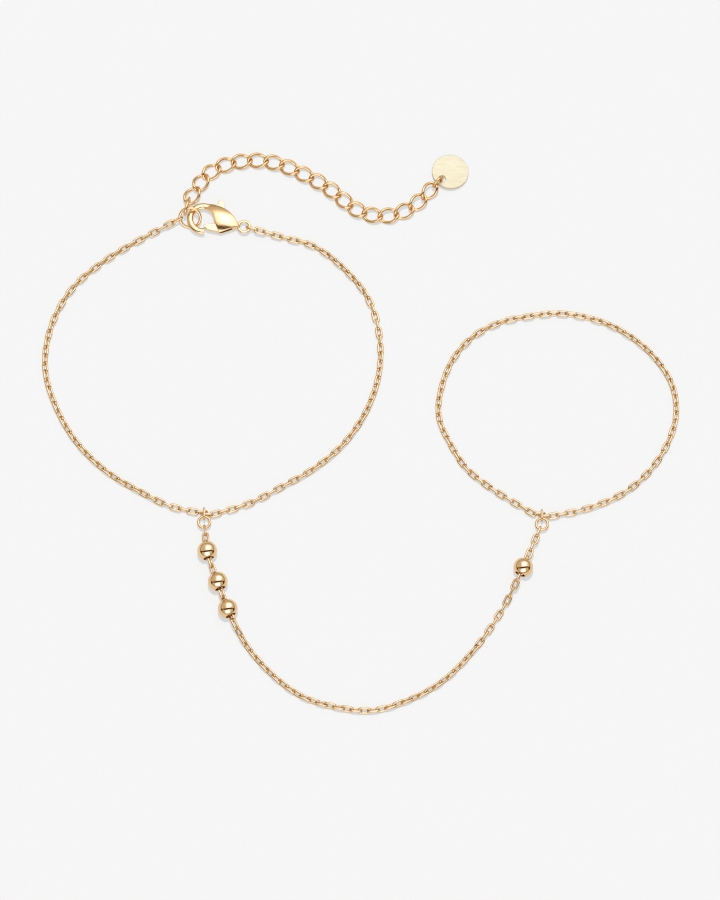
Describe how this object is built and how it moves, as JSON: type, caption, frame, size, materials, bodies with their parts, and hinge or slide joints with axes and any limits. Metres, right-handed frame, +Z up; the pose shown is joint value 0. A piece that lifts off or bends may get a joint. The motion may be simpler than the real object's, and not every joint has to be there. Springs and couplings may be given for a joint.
{
  "type": "hand chain bracelet",
  "caption": "Fine gold-coloured hand chain: a wrist loop and a finger loop of cable chain joined by a beaded strand, with a lobster clasp and an extension.",
  "frame": {"origin": "on the surface that the hand chain lies on, below the middle of its box", "axes": "+Z up from the surface, +X along the longer side of the layout, from the wrist loop to the finger loop, +Y towards the extension"},
  "size_m": [0.1022, 0.0956, 0.0032],
  "materials": {
    "chain": "polished, gold plated",
    "rings": "polished, gold plated",
    "beads": "polished, gold plated",
    "extension": "polished, gold plated",
    "tag": "finely brushed, pale gold plated",
    "clasp": "polished, gold plated"
  },
  "bodies": {
    "bracelet": {"wrist_chain": "chain", "wrist_ring": "rings", "hand_chain": "chain", "bead_1": "beads", "bead_2": "beads", "bead_3": "beads", "bead_4": "beads", "finger_ring": "rings", "finger_end_links": "chain", "finger_chain": "chain", "end_ring": "rings", "ring_link": "extension", "extension_chain": "extension", "tag_ring": "rings", "tag": "tag", "clasp_body": "clasp", "clasp_pin": "clasp"},
    "lever": {"clasp_lever": "clasp"}
  },
  "joints": [
    {"name": "lever_hinge", "type": "hinge", "parent": "bracelet", "child": "lever", "pos_m": [-0.02237, 0.03548, 0.00105], "axis": [0, 0, 1], "range_deg": [-22, 0], "stiffness_Nm_per_rad": 0.0001, "springref_deg": 22.92}
  ]
}
